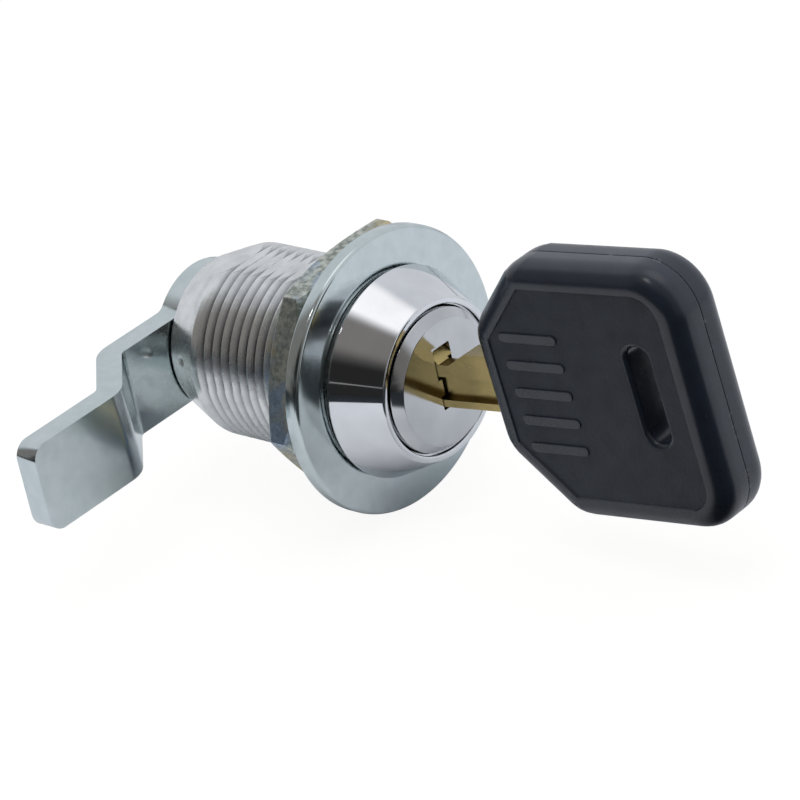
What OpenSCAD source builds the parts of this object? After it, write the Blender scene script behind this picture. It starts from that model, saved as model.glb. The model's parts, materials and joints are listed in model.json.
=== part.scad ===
// Cam lock with its key: a threaded barrel with two flats, a chrome head, a wafer plug that turns a
// quarter turn, a cranked cam on the plug's tail, and a key with a two-part plastic bow.
// The lock's axis is Y: the key enters from -Y and the cam is at +Y. Z is up, in the key's plane.
// The origin is on the axis, where the panel lies against the back of the dress ring.

/* [Barrel] */
// Outside diameter of the barrel's thread
thread_d = 19; // [18:0.5:23]
// Pitch of the barrel's thread
thread_pitch = 1.125; // [0.75:0.125:1.5]
// Depth of the thread
thread_depth = 0.55; // [0.3:0.05:0.8]
// Distance across the barrel's two flats
flat_af = 17.8; // [17:0.1:18.4]
// Length of the barrel behind the panel face
barrel_l = 21; // [20:0.5:30]
// Length of the threaded part
thread_l = 16.6; // [12:0.2:17]
// Wall of the barrel's back end, after its lead-in cone
lead_wall = 0.95; // [0.5:0.05:1.3]

/* [Head] */
// Outside diameter of the dress ring
ring_d = 27.8; // [24:0.2:34]
// Thickness of the dress ring
ring_t = 1.5; // [1:0.1:2.5]
// Radius of the dress ring's front edge
ring_edge_r = 0.4; // [0.2:0.05:0.8]
// Overlap of the cap's base over the barrel's spigot
cap_lap = 0.5; // [0.4:0.05:1.5]
// Width of the cap's rolled front rim
cap_rim_w = 0.65; // [0.4:0.05:0.9]
// Distance that the cap's front stands out from the dress ring
cap_h = 5.4; // [5:0.1:8]
// Wall of the cap
cap_wall = 0.5; // [0.3:0.05:0.6]
// Height of the shadow gap between the dress ring and the cap's base
cap_gap = 0.5; // [0.3:0.05:0.8]

/* [Mounting nut] */
// Distance across the nut's flats
nut_af = 24; // [22:0.5:28]
// Thickness of the nut
nut_t = 4; // [3:0.25:6]
// Angle that the nut is turned by
nut_turn = 54; // [0:1:59]

/* [Plug] */
// Diameter of the plug's body
plug_d = 12.4; // [11.5:0.1:13.5]
// Step between the plug's body and its face
face_step = 0.8; // [0.7:0.05:1]
// Distance that the plug's face stands out from the cap
face_proud = 0.9; // [0.6:0.1:1.2]
// Width of the bevel round the plug's face
face_bevel = 0.85; // [0.5:0.05:1]
// Thickness of the plug's face plate at the keyway
face_t = 1.6; // [1.2:0.1:2]
// Gap between the plug's body and the barrel's bore, all round
run_gap = 0.05; // [0.02:0.01:0.08]

/* [Wafers] */
// Spacing of the wafers
wafer_pitch = 2; // [1.9:0.1:2.1]
// Thickness of a wafer
wafer_t = 1.2; // [0.9:0.05:1.3]
// Width of a wafer
wafer_w = 7; // [6.4:0.1:7.2]
// Clearance of a wafer in its slot
wafer_gap = 0.05; // [0.03:0.01:0.1]

/* [Cam] */
// Thickness of the cam
cam_t = 2.5; // [2:0.1:3.4]
// Distance from the lock's axis to the cam's tip
cam_l = 31.3; // [27:0.1:50]
// Width of the cam's arm
cam_w = 9; // [7:0.5:13]
// Diameter of the cam's round hub
cam_hub_d = 14; // [13:0.5:18]
// Distance that the crank brings the tip forward
cam_crank = 5.7; // [1:0.1:7]
// Distance from the axis to the start of the crank
crank_start = 13.4; // [13.4:0.2:18]
// Turn of the cam from locked to open
cam_turn = 90; // [45:45:180]

/* [Key] */
// Height of the blade
blade_h = 5.7; // [5:0.1:6]
// Thickness of the blade
blade_t = 2.2; // [1.8:0.1:2.4]
// Length of the blade past the last wafer
tip_past = 1.4; // [1.2:0.1:2.4]
// Length of the blade that shows between the plug and the bow
blade_out = 7.8; // [6:0.2:12]
// Height of the bow
bow_h = 26; // [20:0.5:32]
// Length of the bow
bow_l = 26.2; // [22:0.5:34]
// Thickness of the bow
bow_t = 6.4; // [5:0.2:9]
// Size of the bow's two chamfers at the blade's side
bow_chamfer = 6.8; // [4:0.2:8]
// Radius of the bow's two far corners
bow_corner_r = 5; // [2:0.5:8]
// Chamfer round the edge of each bow shell
bow_edge = 1.1; // [0.5:0.1:1.6]
// Tilt of the key in its keyway, from the play between them
key_tilt = 7; // [0:0.5:7]

/* [Hidden] */
$fn = 96;
eps = 0.01;
over = 1;

// Places along the axis, from the front to the back
front_y = -ring_t - cap_h;
face_y = front_y - face_proud;
cap_base_y = -ring_t - cap_gap;
counterbore_y = -3.4;
recess_depth = 1.2;
tail_gap = 0.2;
plug_end_y = barrel_l - recess_depth;
tail_y = barrel_l + tail_gap;
cam_back_y = tail_y + cam_t;

// Plug and keyway
plug_r = plug_d / 2;
bore_r = plug_r + run_gap;
face_r = plug_r + face_step;
face_wall = 0.5;
cup_depth = 2.2;
core_front_y = face_y + face_t;
keyway_w = blade_t + 0.15;
key_play = 0.2;
pivot_y = face_y + 0.8;
key_rise = 1.27;
blade_low = -3.45;
blade_high = blade_low + blade_h;
tail_r = 4.6;
tail_af = 7.6;
nose_r = 4;
nose_af = 6.2;
nose_short = 0.1;

// Head
thread_r = thread_d / 2;
spigot_r = thread_r + 0.3;
ring_fit = 0.1;
counterbore_r = face_r + 0.15;
lip_r = face_r + 0.25;
lip_t = 0.6;
lip_edge = 0.2;
cap_base_r = spigot_r + cap_lap;
cap_rim_r = lip_r + cap_rim_w;
cap_slope = (cap_base_r - cap_rim_r) / (cap_base_y - front_y);
cap_skin = cap_wall * sqrt(1 + cap_slope * cap_slope);
cap_fit = 0.03;
dimple_r = 0.8;
dimple_depth = 0.3;
dimple_at = 2.4;
dimple_rise = 1.6;

// Nut: its gap behind the dress ring when no panel is between them
nut_gap = 0.05;

// Wafers and their springs
wafer_n = 6;
first_wafer_y = -1.4;
last_wafer_y = first_wafer_y + (wafer_n - 1) * wafer_pitch;
wafer_cut = [0.5, 0.9, 0.3, 0.7, 0.5, 0.8];
max_cut = 0.9;
wafer_reach = plug_r - 0.1;
window_w = keyway_w + 0.5;
ear_x = plug_r - 0.95;
ear_low = -2.2;
ear_t = 0.8;
pocket_low = ear_low - max_cut - 0.2;
pocket_high = 3;
groove_r = plug_r + 1;
groove_w = wafer_w + 0.4;
spring_wire = 0.11;
spring_turns = 7;
spring_gap = 0.02;
spring_side_gap = 0.05;
tip_y = last_wafer_y + tip_past;

// Retainer
retainer_y = 15.2;
retainer_t = 1.2;
retainer_w = 6;
retainer_top = -2.2;
retainer_drop = 0.6;
retainer_reach = plug_r + 0.75;
retainer_ring_r = plug_r + 0.95;
retainer_play = 0.1;
retainer_bore_r = 0.6;
retainer_bore_l = 3.2;
retainer_coil_r = 0.4;
retainer_wire = 0.12;
retainer_turns = 6;

// Stop, cam and screw
stop_gap = 0.05;
stop_fit = 0.1;
recess_r = bore_r + 0.6;
stop_out = recess_r - stop_fit;
stop_in = stop_out - 1.35;
lug_start = -120;
lug_angle = 60;
lug_play = 1.5;
screw_r = 2.5;
screw_fit = 0.05;
screw_depth = 5.6;
screw_room = 0.4;
washer_t = 1;
washer_r = 4.1;
washer_fit = 0.15;
washer_split = 0.7;
head_r = 4.2;
head_h = 2.2;
head_dome = 0.5;
cross_l = 5.4;
cross_w = 1.1;
cam_tip_r = 1.5;

// Blade: its tip, its long grooves and its notch outside the plug's face
tip_at = along_key(tip_y, 0);
tip_low = 1.6;
tip_high_l = 2.4;
tip_high = 2.6;
groove_depth = 0.7;
groove_low = blade_low + 0.75;
groove_high = blade_low + 3.2;
back_groove_low = blade_low + 3.7;
back_groove_high = blade_low + 4.6;
notch_at = 0.5;
notch_flat = 1.2;
notch_depth = 1.25;
notch_rise = 2.5;
ward = 0.5;

// Bow
bow_y = blade_out - face_y;
slot_w = 2.6;
slot_l = 9.6;
slot_back = 6.4;
slot_rise = 0.6;
tang_l = 13;
tang_h = 9;
tang_fit = 0.05;
peg_r = 1.5;
peg_at = 8;
peg_skin = 0.8;
peg_gap = 0.1;
panel_inset = 2.4;
panel_depth = 0.3;

// The blade's lower and upper edge at a place along the lock's axis
function blade_z(y, edge) =
    key_rise - (y - pivot_y) * tan(key_tilt) + edge / cos(key_tilt);
// The place along the key that meets a place along the lock's axis, at a height on the key
function along_key(y, edge) = pivot_y + (y - pivot_y - edge * sin(key_tilt)) / cos(key_tilt);
function wafer_y(i) = first_wafer_y + i * wafer_pitch;

keyway_low = blade_z(tip_y, blade_low) - key_play;
keyway_high = blade_z(core_front_y, blade_high) + key_play;

// Turns a profile of [radius, place along Y] about the lock's axis
module lathe(points, angle = 360) {
    rotate([-90, 0, 0]) rotate_extrude(angle = angle) polygon(points);
}

// A rod along the lock's axis from one place to another
module rod(r, from, to, sides = 96) {
    translate([0, from, 0]) rotate([-90, 0, 0]) cylinder(r = r, h = to - from, $fn = sides);
}

// A rod with two flats, facing +Z and -Z
module double_d(r, af, from, to) {
    intersection() {
        rod(r, from, to);
        translate([-r - over, from - over, -af / 2]) cube([2 * (r + over), to - from + 2 * over, af]);
    }
}

// A box given by its middle in X, and by its ends in Y and Z
module block(w, from_y, to_y, from_z, to_z) {
    translate([-w / 2, from_y, from_z]) cube([w, to_y - from_y, to_z - from_z]);
}

// Places something drawn in the key's own frame, tilted in the keyway
module in_keyway() {
    translate([0, pivot_y, key_rise]) rotate([-key_tilt, 0, 0]) translate([0, -pivot_y, 0]) children();
}

// Stands a flat shape on edge in the key's plane: its x runs out of the lock and its y runs up
module on_key_plane(thick) {
    rotate([90, 0, -90]) linear_extrude(thick) children();
}

// A helical spring along Z, with its coils closed up by the wire's own thickness at each end
module coil_spring(coil_r, wire_r, height, turns) {
    steps = 12;
    sides = 6;
    count = steps * turns;
    rise = height - 2 * wire_r;
    points = [for (k = [0:count], s = [0:sides - 1])
        let (a = 360 * k / steps, b = 360 * s / sides, r = coil_r + wire_r * cos(b))
        [r * cos(a), r * sin(a), wire_r + rise * k / count + wire_r * sin(b)]];
    walls = [for (k = [0:count - 1], s = [0:sides - 1])
        let (t = (s + 1) % sides)
        [k * sides + s, k * sides + t, (k + 1) * sides + t, (k + 1) * sides + s]];
    ends = [[for (s = [sides - 1:-1:0]) s], [for (s = [0:sides - 1]) count * sides + s]];
    polyhedron(points, concat(walls, ends));
}

// The barrel's outline, with a ring of V grooves for the thread
module barrel_blank() {
    crest = thread_pitch / 8;
    flare = over * (thread_pitch / 2 - crest) / thread_depth;
    count = floor((thread_l - thread_pitch) / thread_pitch);
    start = thread_l - count * thread_pitch;
    difference() {
        lathe([[0, -ring_t], [spigot_r, -ring_t], [spigot_r, -eps], [thread_r, -eps],
               [thread_r, thread_l], [recess_r + lead_wall, barrel_l], [0, barrel_l]]);
        for (i = [0:count - 1]) translate([0, start + i * thread_pitch, 0])
            lathe([[thread_r - thread_depth, thread_pitch / 2], [thread_r + over, crest / 2 - flare],
                   [thread_r + over, thread_pitch - crest / 2 + flare]]);
    }
}

module head_blank() {
    skin = cap_skin + cap_fit;
    lathe([[0, -ring_t], [cap_base_r - skin, -ring_t], [cap_base_r - skin, cap_base_y],
           [cap_rim_r + cap_slope * lip_t - skin, front_y + lip_t], [0, front_y + lip_t]]);
}

// A piece of a ring about the lock's axis, from one angle in the XZ plane through a sweep
module sector(r_in, r_out, start, sweep, from, to) {
    rotate([0, -start - sweep, 0]) rotate([-90, 0, 0]) translate([0, 0, from])
        rotate_extrude(angle = sweep) translate([r_in, 0]) square([r_out - r_in, to - from]);
}

module housing() {
    cone_r = thread_r - (thread_r - recess_r - lead_wall) * dimple_at / (barrel_l - thread_l);
    dimple_x = sqrt(pow(cone_r + dimple_r - dimple_depth, 2) - pow(dimple_rise, 2));
    color("silver") {
        difference() {
            union() {
                intersection() {
                    barrel_blank();
                    block(thread_d + 2, -ring_t - over, barrel_l + over, -flat_af / 2, flat_af / 2);
                }
                head_blank();
            }
            rod(bore_r, counterbore_y - over, barrel_l + over);
            rod(counterbore_r, front_y - over, counterbore_y);
            rod(recess_r, plug_end_y, barrel_l + over);
            // Grooves that the wafers drop into when the key is out
            intersection() {
                block(groove_w, wafer_y(0) - wafer_t, wafer_y(wafer_n - 1) + wafer_t, -plug_d, plug_d);
                rod(groove_r, counterbore_y, barrel_l);
            }
            // Ring groove for the retainer
            rod(retainer_ring_r, retainer_y - retainer_t / 2 - retainer_play,
                retainer_y + retainer_t / 2 + retainer_play);
            // Dimple on the lead-in cone
            translate([-dimple_x, thread_l + dimple_at, dimple_rise]) sphere(r = dimple_r, $fn = 32);
        }
        // Lug that stops the plug's turn
        sector(stop_in + stop_fit, recess_r + 2 * stop_fit, lug_start, lug_angle, plug_end_y, barrel_l);
    }
}

module bezel_cap() {
    color("gainsboro") lathe([
        [cap_base_r - cap_skin, cap_base_y], [cap_base_r, cap_base_y],
        [cap_rim_r, front_y + lip_edge], [cap_rim_r - lip_edge, front_y], [lip_r + lip_edge, front_y],
        [lip_r, front_y + lip_edge], [lip_r, front_y + lip_t],
        [cap_rim_r + cap_slope * lip_t - cap_skin, front_y + lip_t]]);
}

module dress_ring() {
    r = ring_d / 2;
    e = ring_edge_r;
    color("lightsteelblue") difference() {
        union() {
            rod(r - e, -ring_t, 0);
            rod(r, -ring_t + e, 0);
            translate([0, -ring_t + e, 0]) rotate([-90, 0, 0]) rotate_extrude() translate([r - e, 0])
                circle(r = e, $fn = 32);
        }
        rod(spigot_r + ring_fit, -ring_t - over, over);
    }
}

module mounting_nut() {
    color("darkgray") translate([0, nut_gap, 0]) difference() {
        rotate([0, nut_turn, 0]) rod(nut_af / sqrt(3), 0, nut_t, 6);
        rod(thread_r + run_gap, -over, nut_t + over);
    }
}

module plug() {
    color("goldenrod") difference() {
        union() {
            rod(plug_r, counterbore_y - over, plug_end_y);
            rod(face_r - face_wall, core_front_y, counterbore_y - run_gap);
            double_d(tail_r, tail_af, plug_end_y - over, tail_y);
            double_d(nose_r, nose_af, tail_y - over, cam_back_y - nose_short);
        }
        block(keyway_w, core_front_y - over, tip_y + key_play, keyway_low, keyway_high);
        for (i = [0:wafer_n - 1]) translate([0, wafer_y(i), 0]) {
            half = wafer_t / 2 + wafer_gap;
            block(wafer_w + 2 * wafer_gap, -half, half, -plug_d, plug_d);
            translate([0, -half, pocket_low])
                cube([ear_x + wafer_gap, 2 * half, pocket_high - pocket_low]);
        }
        block(retainer_w + 2 * wafer_gap, retainer_y - retainer_t / 2 - wafer_gap,
              retainer_y + retainer_t / 2 + wafer_gap, -plug_d, retainer_top + wafer_gap);
        translate([0, retainer_y, retainer_top])
            cylinder(r = retainer_bore_r, h = retainer_bore_l, $fn = 32);
        rod(screw_r, cam_back_y - screw_depth - screw_room, cam_back_y + over);
    }
}

module keyhole() {
    low = blade_z(face_y, blade_low) - 2 * key_play;
    high = blade_z(core_front_y, blade_high) + key_play + (core_front_y - face_y) * tan(key_tilt);
    difference() {
        block(keyway_w, face_y - over, core_front_y + over, low, high);
        translate([-keyway_w / 2 - over, face_y - 2 * over, key_rise + groove_low + 2 * key_play])
            cube([over + ward, face_t + 4 * over, groove_high - groove_low - 4 * key_play]);
    }
}

module plug_face() {
    in_r = face_r - face_wall;
    cup_y = core_front_y + cup_depth;
    color("gainsboro") difference() {
        lathe([[0, face_y], [face_r - face_bevel, face_y], [face_r, face_y + face_bevel],
               [face_r, cup_y], [in_r, cup_y], [in_r, core_front_y], [0, core_front_y]]);
        keyhole();
    }
}

module wafer(i) {
    y = wafer_y(i);
    half = wafer_t / 2;
    top = blade_z(y - half - wafer_gap, blade_high) + key_play;
    low = blade_z(y + half + wafer_gap, blade_low) - key_play;
    color("khaki") difference() {
        union() {
            intersection() {
                block(wafer_w, y - half, y + half, -plug_d, plug_d);
                rod(wafer_reach, y - half - over, y + half + over);
                translate([0, 0, max_cut]) rod(wafer_reach, y - half - over, y + half + over);
            }
            translate([0, y - half, ear_low]) cube([ear_x, wafer_t, ear_t]);
        }
        block(window_w, y - half - over, y + half + over, low, top);
    }
}

module wafer_spring(i) {
    coil_r = min(ear_x - wafer_w / 2, wafer_t) / 2 - spring_side_gap - spring_wire;
    pocket_mid = (wafer_w / 2 + ear_x) / 2 + wafer_gap;
    foot = ear_low + ear_t + spring_gap;
    color("dimgray") translate([pocket_mid, wafer_y(i), foot])
        coil_spring(coil_r, spring_wire, pocket_high - foot - spring_gap, spring_turns);
}

module retainer_wafer() {
    color("khaki") intersection() {
        block(retainer_w, retainer_y - retainer_t / 2, retainer_y + retainer_t / 2,
              -plug_d, retainer_top - retainer_drop);
        rod(retainer_reach, 0, barrel_l);
    }
}

module retainer_spring() {
    foot = retainer_top - retainer_drop + spring_gap;
    color("dimgray") translate([0, retainer_y, foot])
        coil_spring(retainer_coil_r, retainer_wire, retainer_bore_l + retainer_drop - 2 * spring_gap,
                    retainer_turns);
}

module stop_washer() {
    thick = tail_y - plug_end_y - 2 * stop_gap;
    play = lug_angle + 2 * lug_play;
    color("silver") translate([0, plug_end_y + stop_gap, 0]) difference() {
        rod(stop_out, 0, thick);
        double_d(tail_r + wafer_gap, tail_af + 2 * wafer_gap, -over, thick + over);
        sector(stop_in, stop_out + over, lug_start - lug_play, play + cam_turn, -over, thick + over);
    }
}

// The cam's side outline: x runs away from the axis, y runs forward from its back face
module cam_side() {
    foot = crank_start;
    knee = crank_start + cam_crank;
    lean = cam_t * tan(22.5);
    polygon([[-cam_hub_d / 2, 0], [foot + lean, 0], [knee + lean, cam_crank], [cam_l, cam_crank],
             [cam_l, cam_crank + cam_t], [knee, cam_crank + cam_t], [foot, cam_t],
             [-cam_hub_d / 2, cam_t]]);
}

// The cam's outline seen along the lock's axis: a round hub, and an arm with round corners
module cam_plan() {
    r = cam_tip_r;
    circle(d = cam_hub_d);
    translate([0, -cam_w / 2]) square([cam_l - r, cam_w]);
    translate([cam_l - 2 * r, r - cam_w / 2]) square([2 * r, cam_w - 2 * r]);
    for (side = [-1, 1]) translate([cam_l - r, side * (cam_w / 2 - r)]) circle(r = r, $fn = 32);
}

module cam() {
    color("lightsteelblue") difference() {
        translate([0, cam_back_y, 0]) intersection() {
            rotate([90, 180, 0]) linear_extrude(cam_crank + cam_t + over) cam_plan();
            translate([0, 0, -cam_hub_d]) rotate([0, 0, 180]) linear_extrude(2 * cam_hub_d) cam_side();
        }
        double_d(nose_r + wafer_gap, nose_af + 2 * wafer_gap, tail_y - over, cam_back_y + over);
    }
}

module lock_washer() {
    color("silver") difference() {
        rod(washer_r, cam_back_y, cam_back_y + washer_t);
        rod(screw_r + washer_fit, cam_back_y - over, cam_back_y + washer_t + over);
        // The washer's split
        block(washer_split, cam_back_y - over, cam_back_y + washer_t + over, 0, washer_r + over);
    }
}

module cam_screw() {
    head_y = cam_back_y + washer_t;
    top_y = head_y + head_h;
    color("silver") difference() {
        union() {
            lathe([[0, head_y], [head_r, head_y], [head_r, top_y - head_dome],
                   [head_r - head_dome, top_y], [0, top_y]]);
            rod(screw_r - screw_fit, cam_back_y - screw_depth, head_y + eps);
        }
        // Cross recess
        for (turn = [0, 90]) rotate([0, turn, 0])
            block(cross_l, top_y - cross_w, top_y + over, -cross_w / 2, cross_w / 2);
    }
}

// The blade's outline: x is the distance out along the key and y is the height
module blade_outline() {
    tip = -tip_at;
    root = bow_y + tang_fit;
    flat = wafer_t / 2 + 2 * wafer_gap;
    notch_end = notch_flat + notch_rise;
    difference() {
        polygon([[tip, blade_low + tip_low], [tip + tip_low, blade_low], [root, blade_low],
                 [root, blade_high], [tip + tip_high_l, blade_high], [tip, blade_low + tip_high]]);
        for (i = [0:wafer_n - 1]) {
            cut = wafer_cut[i];
            translate([-along_key(wafer_y(i), blade_high), blade_high])
                polygon([[-flat - cut - over, over], [-flat, -cut], [flat, -cut], [flat + cut + over, over]]);
        }
        translate([notch_at - along_key(face_y, 0), blade_high])
            polygon([[-notch_depth - over, over], [0, -notch_depth], [notch_flat, -notch_depth],
                     [notch_end, 0], [notch_end, over]]);
    }
}

module key_blade() {
    far = bow_y + over;
    long = far + tip_at + over;
    color("darkgoldenrod") in_keyway() difference() {
        translate([blade_t / 2, 0, 0]) on_key_plane(blade_t) difference() {
            union() {
                blade_outline();
                translate([bow_y, -tang_h / 2]) square([tang_l, tang_h]);
            }
            translate([bow_y + peg_at, 0]) circle(r = peg_r + tang_fit, $fn = 48);
        }
        translate([-blade_t / 2 - over, -far, groove_low])
            cube([over + groove_depth, long, groove_high - groove_low]);
        translate([blade_t / 2 - groove_depth, -far, back_groove_low])
            cube([over + groove_depth, long, back_groove_high - back_groove_low]);
    }
}

// The bow's outline, drawn in by an inset
module bow_outline(inset = 0) {
    near = bow_y + inset;
    far = bow_y + bow_l - inset;
    top = bow_h / 2 - inset;
    r = max(bow_corner_r - inset, 0.5);
    corner = bow_chamfer - inset * (2 - sqrt(2));
    polygon([[near, top - corner], [near + corner, top], [far - r, top], [far, top - r],
             [far, r - top], [far - r, -top], [near + corner, -top], [near, corner - top]]);
    for (side = [-1, 1]) translate([far - r, side * (top - r)]) circle(r = r, $fn = 48);
}

// The slot for a key ring, drawn with round ends
module ring_slot() {
    straight = slot_l - slot_w;
    translate([bow_y + bow_l - slot_back, slot_rise]) {
        for (side = [-1, 1]) translate([0, side * straight / 2]) circle(d = slot_w, $fn = 48);
        translate([-slot_w / 2, -straight / 2]) square([slot_w, straight]);
    }
}

// One half of the bow, on the -X side: a chamfered shell with a pocket for the key's tang
module bow_shell() {
    half = bow_t / 2;
    pocket = blade_t / 2 + tang_fit;
    difference() {
        union() {
            on_key_plane(half - bow_edge) bow_outline();
            hull() {
                translate([bow_edge - half, 0, 0]) on_key_plane(eps) bow_outline();
                translate([eps - half, 0, 0]) on_key_plane(eps) bow_outline(bow_edge);
            }
        }
        translate([over, 0, 0]) on_key_plane(half + 2 * over) ring_slot();
        translate([over, 0, 0]) on_key_plane(pocket + over)
            translate([bow_y - over, -tang_h / 2 - tang_fit])
                square([tang_l + tang_fit + over, tang_h + 2 * tang_fit]);
        translate([panel_depth - half, 0, 0]) on_key_plane(over) bow_outline(panel_inset);
    }
}

module key_shell_left() {
    color("darkslategray") in_keyway() {
        start = blade_t / 2 + tang_fit + eps;
        bow_shell();
        translate([-start, -bow_y - peg_at, 0]) rotate([0, 90, 0])
            cylinder(r = peg_r, h = start + bow_t / 2 - peg_skin - peg_gap, $fn = 48);
    }
}

module key_shell_right() {
    color("darkslategray") in_keyway() difference() {
        mirror([1, 0, 0]) bow_shell();
        translate([0, -bow_y - peg_at, 0]) rotate([0, 90, 0])
            cylinder(r = peg_r + tang_fit, h = bow_t / 2 - peg_skin, $fn = 48);
    }
}

housing();
bezel_cap();
dress_ring();
mounting_nut();
plug();
plug_face();
wafer(0);  // wafer_1
wafer(1);  // wafer_2
wafer(2);  // wafer_3
wafer(3);  // wafer_4
wafer(4);  // wafer_5
wafer(5);  // wafer_6
wafer_spring(0);  // wafer_spring_1
wafer_spring(1);  // wafer_spring_2
wafer_spring(2);  // wafer_spring_3
wafer_spring(3);  // wafer_spring_4
wafer_spring(4);  // wafer_spring_5
wafer_spring(5);  // wafer_spring_6
retainer_wafer();
retainer_spring();
stop_washer();
cam();
lock_washer();
cam_screw();
key_blade();
key_shell_left();
key_shell_right();
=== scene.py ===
# %% [markdown]
# # A cam lock and its key
#
# A cam lock closes a cabinet door. A threaded barrel goes through the door and a nut holds it there, a
# plug turns in the barrel, and a bent cam on the plug's tail reaches behind the frame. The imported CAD
# model gives every size and place. This lesson models what shows as smooth, rounded metal and plastic
# around that model, and gives each piece the finish of the real one.

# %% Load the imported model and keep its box
import json
import math

import bpy
from mathutils import Matrix, Vector


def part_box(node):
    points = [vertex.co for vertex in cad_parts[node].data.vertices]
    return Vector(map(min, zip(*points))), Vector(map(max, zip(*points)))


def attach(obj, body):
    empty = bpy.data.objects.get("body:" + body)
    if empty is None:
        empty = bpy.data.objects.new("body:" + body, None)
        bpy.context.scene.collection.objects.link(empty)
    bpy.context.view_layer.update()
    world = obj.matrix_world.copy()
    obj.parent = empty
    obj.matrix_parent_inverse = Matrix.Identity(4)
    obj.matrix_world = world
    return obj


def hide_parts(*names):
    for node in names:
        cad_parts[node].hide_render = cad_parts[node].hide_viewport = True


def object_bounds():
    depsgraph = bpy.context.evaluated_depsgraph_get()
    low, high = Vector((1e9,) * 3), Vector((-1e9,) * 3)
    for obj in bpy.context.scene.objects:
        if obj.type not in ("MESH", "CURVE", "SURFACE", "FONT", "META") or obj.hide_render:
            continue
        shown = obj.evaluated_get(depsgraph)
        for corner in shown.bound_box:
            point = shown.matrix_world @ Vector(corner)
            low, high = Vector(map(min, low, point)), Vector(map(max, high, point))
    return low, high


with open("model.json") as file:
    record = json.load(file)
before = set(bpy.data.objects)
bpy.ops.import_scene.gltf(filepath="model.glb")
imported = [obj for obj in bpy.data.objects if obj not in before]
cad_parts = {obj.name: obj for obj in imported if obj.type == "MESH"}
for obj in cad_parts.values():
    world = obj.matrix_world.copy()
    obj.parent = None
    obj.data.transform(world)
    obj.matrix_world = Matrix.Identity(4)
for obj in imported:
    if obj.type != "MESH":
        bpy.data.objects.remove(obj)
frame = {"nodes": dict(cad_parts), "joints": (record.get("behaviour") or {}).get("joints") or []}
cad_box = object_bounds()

MM = 0.001
print("CAD box in mm:", [[round(v / MM, 2) for v in corner] for corner in cad_box])

# %% [markdown]
# ## The camera
#
# A long lens far away flattens a small object, as a catalogue picture does. The camera stands to the
# left of the lock's axis and above it, and is rolled a little, so that the key runs slightly downhill.
# Its place is worked out from three angles and from the point of the lock that lies in mid-picture.

# %% Camera
CAMERA_TURN = math.radians(-43.33)
CAMERA_LIFT = math.radians(26.79)
CAMERA_ROLL = math.radians(12.37)
CAMERA_DISTANCE = 400 * MM
LENS = 190.55
MIDDLE = (1.31 * MM, -3.06 * MM)

backward = Vector((math.sin(CAMERA_TURN) * math.cos(CAMERA_LIFT),
                   -math.cos(CAMERA_TURN) * math.cos(CAMERA_LIFT), math.sin(CAMERA_LIFT)))
level = Vector((math.cos(CAMERA_TURN), math.sin(CAMERA_TURN), 0))
upright = backward.cross(level)
camera_up = math.cos(CAMERA_ROLL) * upright + math.sin(CAMERA_ROLL) * level
camera_right = camera_up.cross(backward)
camera_place = backward * CAMERA_DISTANCE + camera_right * MIDDLE[0] + camera_up * MIDDLE[1]

bpy.ops.object.camera_add(location=camera_place)
camera = bpy.context.object
camera.name = "camera"
turned_axes = Matrix((camera_right, camera_up, backward)).transposed()
camera.rotation_euler = turned_axes.to_euler()
camera.data.lens = LENS
camera.data.clip_start = 10 * MM
bpy.context.scene.camera = camera
print("camera at", [round(v / MM, 1) for v in camera_place], "mm")

# %% [markdown]
# ## Wiring nodes
#
# The light, the floor and every finish are node trees. Three small steps come back in all of them: two
# colours are mixed by a mask, a value is laid out between two limits, and two values are worked into
# one. Each gets a helper here, which takes the tree that it adds its node to.

# %% Helpers that wire nodes
def mix_colours(tree, mask, first, second):
    """A colour between two others, by a mask. Each is three numbers or an output."""
    mix = tree.nodes.new("ShaderNodeMix")
    mix.data_type = "RGBA"
    tree.links.new(mask, mix.inputs["Factor"])
    for label, colour in (("A", first), ("B", second)):
        if isinstance(colour, tuple):
            mix.inputs[label].default_value = (*colour, 1)
        else:
            tree.links.new(colour, mix.inputs[label])
    return mix.outputs["Result"]


def laid_out(tree, value, start=0.0, end=1.0, low=0.0, high=1.0, soft=False):
    """A value turned into one that is low at start and high at end. A limit is a number or an output."""
    span = tree.nodes.new("ShaderNodeMapRange")
    if soft:
        span.interpolation_type = "SMOOTHSTEP"
    tree.links.new(value, span.inputs["Value"])
    for label, limit in (("From Min", start), ("From Max", end), ("To Min", low), ("To Max", high)):
        if isinstance(limit, (int, float)):
            span.inputs[label].default_value = limit
        else:
            tree.links.new(limit, span.inputs[label])
    return span.outputs["Result"]


def worked(tree, operation, first, second):
    """Two values worked into one."""
    node = tree.nodes.new("ShaderNodeMath")
    node.operation = operation
    tree.links.new(first, node.inputs[0])
    tree.links.new(second, node.inputs[1])
    return node.outputs["Value"]


print("node helpers ready")

# %% [markdown]
# ## Light
#
# Plated metal shows its surroundings more than its own colour, so the light is what makes it look
# real. The room is a pale dome, brightest overhead, with a haze on the left that gets dark lower down.
# That gives the chrome its black band and the band's soft upper end. Metal reflects the dome alone: the
# wide lamps light the plastic and the floor, and only the small one shows as a glint.

# %% Room and lamps
room = bpy.data.worlds.new("room")
bpy.context.scene.world = room
room.use_nodes = True
room_tree = room.node_tree
room_background = room_tree.nodes["Background"]
room_place = room_tree.nodes.new("ShaderNodeTexCoord")


def facing(direction, low, high):
    """How far the looked-at part of the room lies toward a direction, from 0 at low to 1 at high."""
    dot = room_tree.nodes.new("ShaderNodeVectorMath")
    dot.operation = "DOT_PRODUCT"
    dot.inputs[1].default_value = Vector(direction).normalized()
    room_tree.links.new(room_place.outputs["Generated"], dot.inputs[0])
    return laid_out(room_tree, dot.outputs["Value"], low, high, soft=True)


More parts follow.
